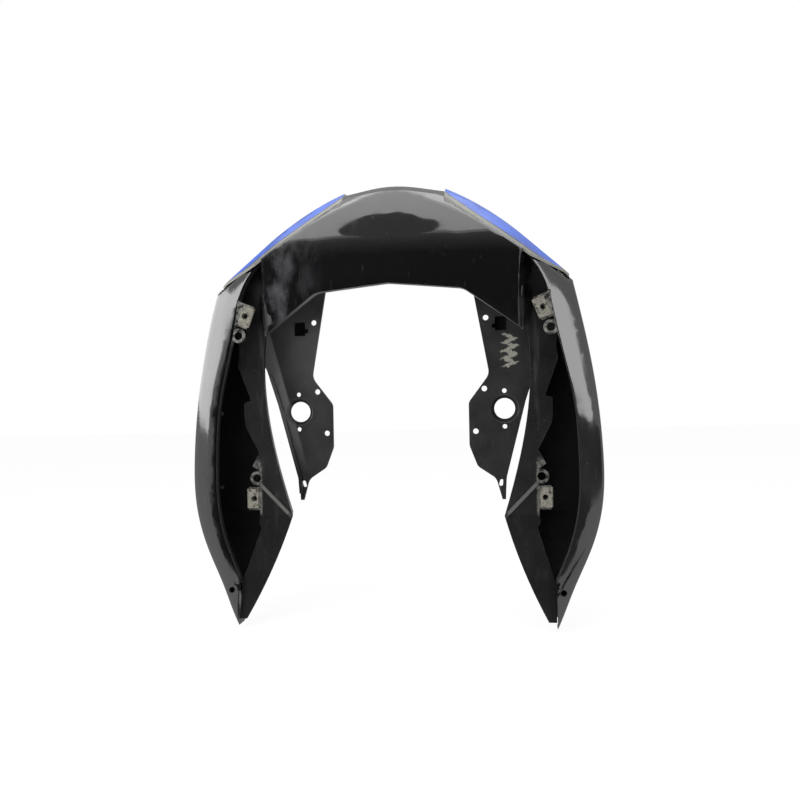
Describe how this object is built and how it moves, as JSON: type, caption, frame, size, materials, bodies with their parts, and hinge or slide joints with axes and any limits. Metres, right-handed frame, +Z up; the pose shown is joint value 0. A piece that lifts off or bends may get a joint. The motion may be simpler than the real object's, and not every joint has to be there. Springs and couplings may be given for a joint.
{
  "type": "motorcycle fairing",
  "caption": "Arched motorcycle front fairing with a gloss nose panel, long pointed cheeks, painted side panels, matt liners and lamp arms around an open middle for the headlamp.",
  "frame": {"origin": "midway between the two lamp bores, on the front face of the lamp arms", "axes": "+X is the rider's left, -Y is forward, +Z is up"},
  "size_m": [0.46, 0.1514, 0.4937],
  "materials": {
    "gloss_black": "gloss black lacquer on moulded plastic, dusty and lightly scratched",
    "blue_paint": "royal blue gloss paint on moulded plastic",
    "matt_black": "unpainted grained black plastic, dusty",
    "arm_black": "unpainted matt black plastic, scuffed at the edges",
    "clip_steel": "zinc-plated spring steel, dulled",
    "screw_steel": "plated steel"
  },
  "bodies": {
    "root": {"nose_panel": "gloss_black", "cheek_left": "gloss_black", "cheek_right": "gloss_black", "side_panel_left": "blue_paint", "side_panel_right": "blue_paint", "liner_left": "matt_black", "liner_right": "matt_black", "lamp_arm_left": "arm_black", "lamp_arm_right": "arm_black", "clip_nut_upper_left": "clip_steel", "clip_nut_upper_right": "clip_steel", "clip_nut_lower_left": "clip_steel", "clip_nut_lower_right": "clip_steel", "arm_screws": "screw_steel", "liner_screws": "screw_steel", "nose_screws": "screw_steel"}
  },
  "joints": []
}
